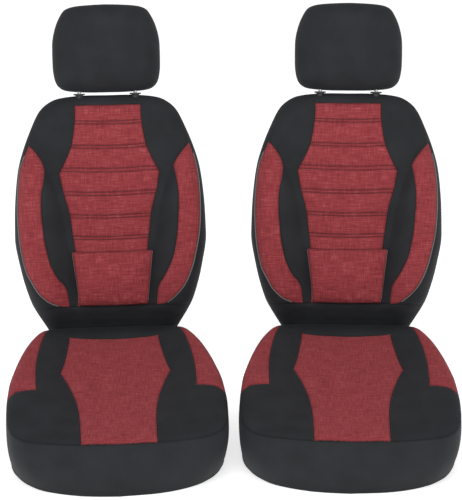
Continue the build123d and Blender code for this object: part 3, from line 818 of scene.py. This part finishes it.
# ---- headrest and lumbar pad
head_half = smooth_path([(0, 898), (32, 897), (70, 894.5), (94, 890), (111, 880), (126, 854), (135, 828), (140, 802),
    (141, 776), (141, 751), (140, 725), (135, 699), (125, 683), (104, 673), (52, 668.5), (0, 668)])
head_outline, head_line = whole_outline(head_half, 4.0)
HEAD_FRONT, HEAD_REAR = 60, -40
pad_outline = even(np.vstack([
    smooth_path([(-103, 254), (-40, 252.5), (0, 252), (45, 252.5), (107, 254)]),
    smooth_path([(107, 254), (104.5, 225), (101, 195), (96.5, 155), (92, 116)])[1:],
    smooth_path([(92, 116), (84, 112.5), (0, 110), (-79, 112.5), (-87, 116)])[1:],
    smooth_path([(-87, 116), (-91.5, 155), (-96, 195), (-100, 225), (-103, 254)])[1:-1]]), 4.0)
pad_line = closed(pad_outline)
PAD_SEAT = ([110, 160, 254], [46, 44, 43])  # how far forward the pad's rim lies, at heights up the back
PUFF_CAP = 0.006  # how far a point may move in the cloth simulation, in metres
PUFF_FRAMES = 20
CLOTH_SETTINGS = {"quality": 6, "mass": 0.2, "use_pressure": True, "uniform_pressure_force": 2.2,
                  "bending_stiffness": 0.4, "tension_stiffness": 18, "compression_stiffness": 12,
                  "shrink_min": -0.012}


def closed_cover(name, verts, faces, rim, front, rear, material, map_shift, map_place=(0, 0), painted_shade=None):
    """A front and a rear sheet that share their rim. The rear's cloth map lies beside the front's."""
    inner = ~rim
    rear_index = np.arange(len(verts))
    rear_index[inner] = len(verts) + np.arange(inner.sum())
    front_points = back_to_world(*verts.T, front)
    front_faces = facing(front_points, faces, FORWARD)
    points = np.vstack([front_points, back_to_world(*verts.T, rear)[inner]])
    cloth = MM * np.vstack([verts, verts[inner] * [-1, 1] + [map_shift, 0]]) + map_place
    whole = np.vstack([front_faces, rear_index[front_faces][:, ::-1]])
    return mesh_object(name, points, whole, material, cloth, painted_shade)


def make_headrest():
    """A padded pillow in one cover."""
    verts, faces = triangulate(head_outline, [], 40, 6.0)
    off = distance(verts, [head_line])
    dome = 0.26 * rounded(off, 112)
    soft = (wobble(verts, 60, 9.3) * 0.9 + wobble(verts, 20, 1.3) * 0.25) * step_up(off, 0, 16)
    front = HEAD_FRONT * (dome + 0.74 * rounded(off, 50)) + soft
    rear = HEAD_REAR * (dome + 0.74 * rounded(off, 40)) + soft
    return closed_cover("headrest_cover", verts, faces, off < 1e-3, front, rear, black, 400)


def puff(piece, pinned):
    """Swells a closed cover with the cloth solver and keeps the result, with no point moving more than the cap."""
    mesh = piece.data
    start = np.zeros(3 * len(mesh.vertices))
    mesh.vertices.foreach_get("co", start)
    group = piece.vertex_groups.new(name="sewn")
    group.add([int(i) for i in np.nonzero(pinned)[0]], 1.0, "REPLACE")
    cloth = piece.modifiers.new("puff", "CLOTH")
    cloth.settings.vertex_group_mass = "sewn"
    for key, value in CLOTH_SETTINGS.items():
        setattr(cloth.settings, key, value)
    cloth.settings.effector_weights.gravity = 0
    cloth.point_cache.frame_end = PUFF_FRAMES
    for frame_number in range(1, PUFF_FRAMES + 1):
        scene.frame_set(frame_number)
    posed = piece.evaluated_get(bpy.context.evaluated_depsgraph_get())
    end = np.zeros_like(start)
    posed.data.vertices.foreach_get("co", end)
    moved = (end - start).reshape(-1, 3)
    far = np.linalg.norm(moved, axis=1)
    moved *= np.minimum(1, PUFF_CAP / np.maximum(far, 1e-9))[:, None]
    print(f"puffed {piece.name}: up to {1000 * far.max():.1f} mm, mean {1000 * far.mean():.2f} mm")
    piece.modifiers.remove(cloth)
    piece.vertex_groups.clear()
    scene.frame_set(1)
    mesh.vertices.foreach_set("co", start + moved.ravel())
    mesh.update()
    return piece


def make_pad():
    """A stuffed pad sewn over the foot of the centre panel."""
    verts, faces = triangulate(pad_outline, [], 14, 4.5)
    off = distance(verts, [pad_line])
    base = np.interp(verts[:, 1], *PAD_SEAT)
    shape = rounded(off, 26)
    up = np.clip((verts[:, 1] - 111) / 143, 0, 1)
    crown = 9 * arch(verts[:, 0], 108) * np.sin(np.pi * up ** 0.8)
    creases = (wobble(verts * [1, 2.6], 26, 4.8) * 1.0 + wobble(verts, 12, 7.1) * 0.35) * step_up(off, 0, 12)
    rim = off < 1e-3
    # painted shade: the pad's cloth darker near its rim, where it meets the centre panel
    pad = closed_cover("lumbar_pad", verts, faces, rim, base + 11.0 * shape + crown + creases, base - 3 * shape,
                       red, 300, (0.13, 0.21), 0.8 * np.exp(-np.r_[off, off[~rim]] / 2.0))
    return puff(pad, np.r_[off < 1.0, np.ones((~rim).sum(), bool)])


both_seats(make_headrest(), "headrest", ["headrest_cover", "headrest_foam"])
both_seats(make_pad(), "backrest", ["lumbar_pad"])


# ---- rear pocket
POCKET_HALF, POCKET_FOOT, POCKET_TOP, POCKET_CORNER = 160, 145, 375, 18.0
POCKET_COLUMNS, POCKET_ROWS = 54, 44


def make_pocket():
    """A flat pocket on the back of the backrest: sewn at its sides and foot, open along its elastic top."""
    across = np.linspace(-POCKET_HALF, POCKET_HALF, POCKET_COLUMNS)
    rows, uvs = [], []
    for h in np.linspace(POCKET_FOOT, POCKET_TOP, POCKET_ROWS):
        low = max(0.0, POCKET_CORNER - (h - POCKET_FOOT))
        half = POCKET_HALF - (POCKET_CORNER - math.sqrt(max(0.0, POCKET_CORNER**2 - low**2)))
        u, heights = across * half / POCKET_HALF, np.full(POCKET_COLUMNS, h)
        off = np.minimum(half - np.abs(u), h - POCKET_FOOT)
        belly = 6 * step_up(off, 0, 60) * (0.5 + 0.5 * (h - POCKET_FOOT) / 230) + 1.4 * step_up(off, 0, 3)
        gather = 1.2 * np.sin(u / 4.2) * step_up(h, 340, 367) * (1 - step_up(h, 367, POCKET_TOP))
        soft = np.array([soft_noise(v / 50, h / 50, 6.6) for v in u]) * step_up(off, 0, 25)
        t = back_rear_t(np.column_stack([u, heights])) - 0.8 - belly - soft - gather
        rows.append(back_to_world(u, heights, t))
        uvs.append(MM * np.column_stack([u, heights]))
    return strip_mesh("rear_pocket", rows, black, uvs)


both_seats(make_pocket(), "backrest", ["rear_pocket"])


# ---- piping, cords and stitches
TUBE_SIDES, STITCH_SIDES = 8, 5
STITCH_PITCH = 4.6
STITCH_LENGTH = 0.72  # of the pitch, with a gap for the rest
STITCH_SPINE = np.array([0, 0.18, 0.5, 0.82, 1])  # places along a stitch, and its thickness at each
STITCH_SIZES = (0.35, 0.9, 1.0, 0.9, 0.35)
QUILT_THREAD, TOP_THREAD, TOP_GAP = 0.42, 0.38, 3.0  # radii, and how far a topstitch runs from its seam
WING_PIPING, PAD_PIPING, POCKET_HEM = 1.5, 0.9, 2.2  # radii


def tube_faces(first, rings, sides):
    """The faces of a capped tube, whose rings of vertices begin at an index."""
    def corner(ring, i):
        return first + ring * sides + i % sides

    walls = [(corner(r, i), corner(r, i + 1), corner(r + 1, i + 1), corner(r + 1, i))
             for r in range(rings - 1) for i in range(sides)]
    return walls + [tuple(corner(0, i) for i in range(sides))[::-1],
                    tuple(corner(rings - 1, i) for i in range(sides))]


def tube_mesh(name, path, radius, material):
    """A cord along a path in metres, with a cloth map that runs along it. The radius is in millimetres."""
    radius *= MM
    along = np.gradient(path, axis=0)
    along /= np.linalg.norm(along, axis=1)[:, None]
    side = np.cross(along, [0.0, 0.0, 1.0])
    side[np.linalg.norm(side, axis=1) < 1e-4] = [1, 0, 0]
    side /= np.linalg.norm(side, axis=1)[:, None]
    up = np.cross(side, along)
    angles = np.linspace(0, 2 * math.pi, TUBE_SIDES, endpoint=False)
    rings = path[:, None] + radius * (np.cos(angles)[:, None] * side[:, None] + np.sin(angles)[:, None] * up[:, None])
    cloth = np.column_stack([np.repeat(run_in_space(path), TUBE_SIDES), np.tile(angles * radius, len(path))])
    return mesh_object(name, rings.reshape(-1, 3), tube_faces(0, len(path), TUBE_SIDES), material, cloth)


def on_sheet(points, sheet):
    """A sheet's depth at other points, from its three nearest vertices."""
    verts, values = sheet
    tree = KDTree(len(verts))
    for i, (x, y) in enumerate(verts):
        tree.insert((x, y, 0), i)
    tree.balance()
    out = []
    for x, y in points:
        found = tree.find_n((x, y, 0), 3)
        weights = [1 / (gap + 1e-6) for _, _, gap in found]
        out.append(sum(w * values[i] for w, (_, i, _) in zip(weights, found)) / sum(weights))
    return np.array(out)


def beside_seam(seam, side, others):
    """The line sewn beside a seam, without the stretches where it turns back on itself or meets another seam."""
    line = even(offset_rows(seam, side * TOP_GAP), 1.5)
    return line[distance(line, others) > 0.9 * TOP_GAP]


def stitch_mesh(name, rows, radius, material):
    """Rows of sewn stitches, each a short rounded thread that dips at both ends."""
    points, faces, cloth = [], [], []
    angles = np.linspace(0, 2 * math.pi, STITCH_SIDES, endpoint=False)
    for row in rows:
        run = run_in_space(row)
        for start in np.arange(0, run[-1] - MM * STITCH_PITCH, MM * STITCH_PITCH):
            at = start + MM * STITCH_PITCH * STITCH_LENGTH * STITCH_SPINE
            spine = points_at(row, run, at)
            along = spine[-1] - spine[0]
            if np.linalg.norm(along) < 0.5 * MM * STITCH_PITCH * STITCH_LENGTH:
                continue
            along /= np.linalg.norm(along)
            side = np.cross(along, [0.12, -0.9, 0.42])
            side /= np.linalg.norm(side)
            up = np.cross(side, along)
            faces += tube_faces(len(points), len(spine), STITCH_SIDES)
            for centre, size in zip(spine, STITCH_SIZES):
                for angle in angles:
                    points.append(centre + MM * radius * size * (math.cos(angle) * side + math.sin(angle) * up))
                    cloth.append((at[0], MM * radius * angle))
    return mesh_object(name, np.array(points), faces, material, np.array(cloth))


def wing_piping(name, path, nodes=()):
    """A cord laid along a wing's outer seam, which is given as (u, h) points."""
    path = even(path[6:-6], 3.0)
    cord = tube_mesh(name, back_to_world(*path.T, back_front_t(path) + 0.2), WING_PIPING, grey_cord)
    both_seats(cord, "backrest", nodes)


def pad_piping(name, path):
    """A thin cord down one side of the lumbar pad."""
    path = even(smooth_path(path), 3)
    rim_t = np.interp(path[:, 1], *PAD_SEAT) + 1.5
    both_seats(tube_mesh(name, back_to_world(*path.T, rim_t), PAD_PIPING, pale_cord), "backrest")


quilt_stitches = [back_to_world(*line.T, on_sheet(line, back_sheet) + 0.25) for line in quilt_lines]
both_seats(stitch_mesh("quilting_thread", quilt_stitches, QUILT_THREAD, red_thread), "backrest")
back_rows = [beside_seam(seam, side, back_seams) for seam, side in (
    (centre_side, 1), (mirrored(centre_side), -1), (right_wing_in, 1), (left_wing_in, -1))]
back_rows = [back_to_world(*row.T, on_sheet(row, back_sheet) + 0.15) for row in back_rows]
both_seats(stitch_mesh("backrest_topstitching", back_rows, TOP_THREAD, black_thread), "backrest")
seat_rows = [beside_seam(seam, side, seat_seams) for seam, side in (
    (seat_centre_side, 1), (mirrored(seat_centre_side), -1), (seat_wing, -1), (mirrored(seat_wing), 1))]
seat_rows = [row[inside(row, cushion_outline)] for row in seat_rows]
seat_rows = [seat_to_world(*row.T, on_sheet(row, seat_sheet) + 0.15) for row in seat_rows]
both_seats(stitch_mesh("cushion_topstitching", seat_rows, TOP_THREAD, black_thread), "seat")
wing_piping("wing_piping_right", right_wing_out, ["backrest_piping"])
wing_piping("wing_piping_left", left_wing_out)
pad_piping("pad_piping_left", [(-103, 251), (-100, 225), (-96, 195), (-91.5, 155), (-87.5, 119)])
pad_piping("pad_piping_right", [(107, 251), (104.5, 225), (101, 195), (96.5, 155), (92.5, 119)])
pocket_top = np.column_stack([np.linspace(1 - POCKET_HALF, POCKET_HALF - 1, 90), np.full(90, float(POCKET_TOP))])
pocket_hem = tube_mesh("pocket_hem", back_to_world(*pocket_top.T, back_rear_t(pocket_top) - 6.5), POCKET_HEM, black)
both_seats(pocket_hem, "backrest")


# ---- stage
SKY_LIGHT = 0.42  # how strongly the white surroundings light the set
FLOOR_GLOW = 0.62
FLOOR_HALF = 30
SENSOR = 36
FOCAL_LENGTH, FRAME_HEIGHT = 1932.4, 500  # in pixels of the frame
CAMERA_SIDE, CAMERA_BACK, CAMERA_HEIGHT = -0.12, 4.7, 2.1552
CAMERA_DOWN, CAMERA_TURN = 20.24, -1.5  # degrees below the level, and round to the right


def softbox(name, place, target, size, power):
    """A rectangular lamp that points at a place."""
    light = bpy.data.lights.new(name, "AREA")
    light.shape = "RECTANGLE"
    light.size, light.size_y = size
    light.energy = power
    lamp = new_object(name, light)
    lamp.location = place
    lamp.rotation_euler = (Vector(target) - Vector(place)).to_track_quat("-Z", "Y").to_euler()


def make_stage():
    """A pale floor, white surroundings and three soft lamps."""
    floor_mesh = bpy.data.meshes.new("floor")
    corners = [(x * FLOOR_HALF, y * FLOOR_HALF, 0) for x, y in ((-1, -1), (1, -1), (1, 1), (-1, 1))]
    floor_mesh.from_pydata(corners, [], [(0, 1, 2, 3)])
    paper, tree, shader = blank("pale_floor", (0.93, 0.93, 0.935), 0.9, Specular_IOR_Level=0.1,
                                Emission_Color=(1, 1, 1, 1), Emission_Strength=FLOOR_GLOW)
    grain = noise_node(tree, object_coordinates(tree, 9))
    tree.links.new(ramp(tree, grain, (0.3, (0.925, 0.925, 0.93)), (0.7, (0.94, 0.94, 0.945))),
                   shader.inputs["Base Color"])
    floor_mesh.materials.append(paper)
    new_object("floor", floor_mesh)
    world = bpy.data.worlds.new("studio")
    scene.world = world
    world.use_nodes = True
    sky = world.node_tree
    seen = add_node(sky, "LightPath").outputs["Is Camera Ray"]
    strength = calc(sky, "MULTIPLY_ADD", seen, 1.0 - SKY_LIGHT, SKY_LIGHT)
    sky.nodes["Background"].inputs["Color"].default_value = (1.0, 1.0, 1.0, 1)
    sky.links.new(strength, sky.nodes["Background"].inputs["Strength"])
    softbox("key", (-0.6, -3.2, 3.9), (0, -0.1, 0.45), (3.6, 2.2), 84)
    softbox("top", (0, -1.3, 3.1), (0, -0.35, 0.15), (2.6, 1.2), 24)
    softbox("fill", (2.4, -3.6, 2.0), (0, 0, 0.5), (2.4, 2.4), 14)
    scene.view_settings.view_transform = "Standard"


def make_camera():
    """A long lens in front of the set, a little above it."""
    data = bpy.data.cameras.new("camera")
    data.sensor_fit = "VERTICAL"
    data.sensor_height = SENSOR
    data.lens = FOCAL_LENGTH / FRAME_HEIGHT * SENSOR
    camera = new_object("camera", data)
    middle_y = joints["left_recline"]["pos_m"][1] + MM * CREASE_Y
    camera.location = (CAMERA_SIDE, middle_y - CAMERA_BACK, CAMERA_HEIGHT)
    camera.rotation_euler = (math.radians(90 - CAMERA_DOWN), 0, math.radians(CAMERA_TURN))
    scene.camera = camera


make_stage()
make_camera()
